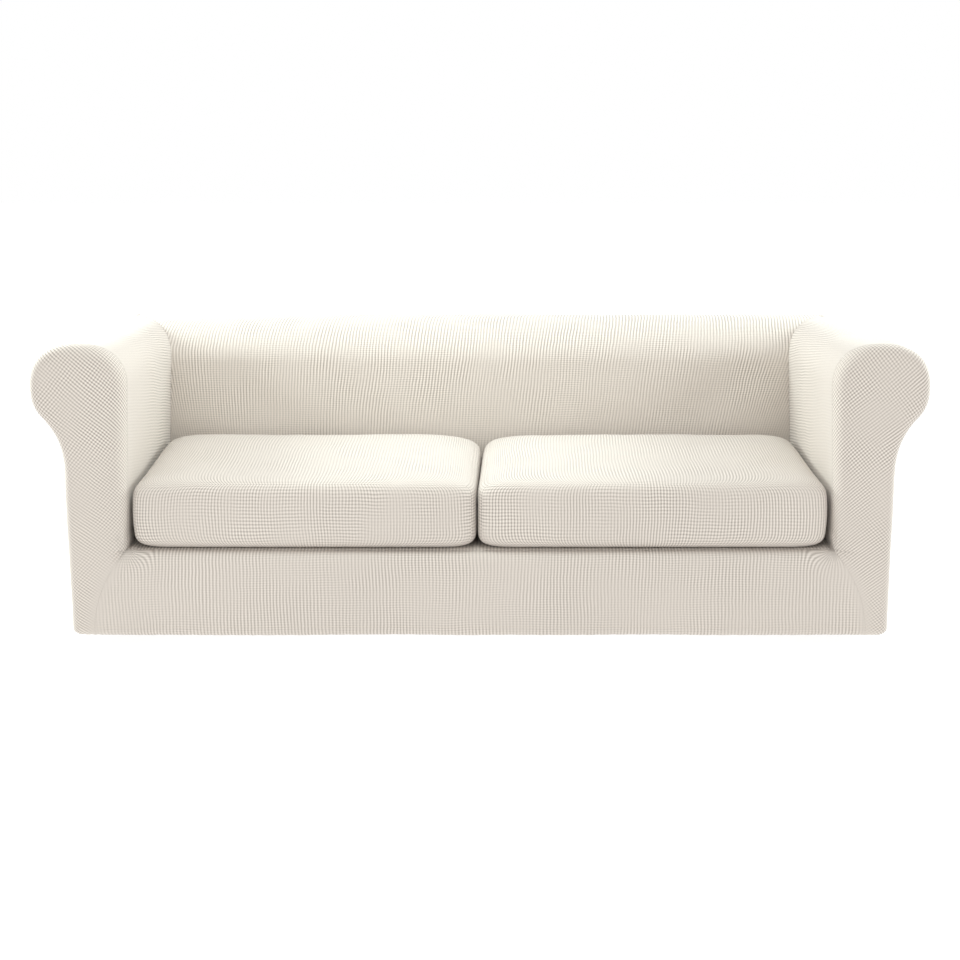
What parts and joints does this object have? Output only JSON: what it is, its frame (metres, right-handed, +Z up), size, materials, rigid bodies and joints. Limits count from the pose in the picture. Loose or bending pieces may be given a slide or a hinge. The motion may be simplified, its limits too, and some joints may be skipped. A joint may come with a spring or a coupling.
{
  "type": "sofa slipcover set",
  "caption": "Stretch slipcover set for a roll-arm sofa: a fitted base cover with scroll-shaped arm facings and a separate cover for each seat cushion, in plain waffle knit.",
  "frame": {"origin": "on the hem plane, midway between the two arm rolls and midway between the arm fronts and the outside back", "axes": "+X along the sofa to the right seen from the front, +Y from the front to the back, +Z up"},
  "size_m": [2.2, 0.82, 0.733],
  "materials": {
    "waffle_knit": "matt cream stretch knit with a small waffle texture"
  },
  "bodies": {
    "root": {"arm_front_left": "waffle_knit", "arm_front_right": "waffle_knit", "front_apron": "waffle_knit", "seat_deck": "waffle_knit", "outside_arm_left": "waffle_knit", "outside_arm_right": "waffle_knit", "inside_arm_left": "waffle_knit", "inside_arm_right": "waffle_knit", "inside_back": "waffle_knit", "outside_back": "waffle_knit", "left_cushion_wrap": "waffle_knit", "left_cushion_inner_gusset": "waffle_knit", "left_cushion_outer_gusset": "waffle_knit", "right_cushion_wrap": "waffle_knit", "right_cushion_inner_gusset": "waffle_knit", "right_cushion_outer_gusset": "waffle_knit"}
  },
  "joints": []
}
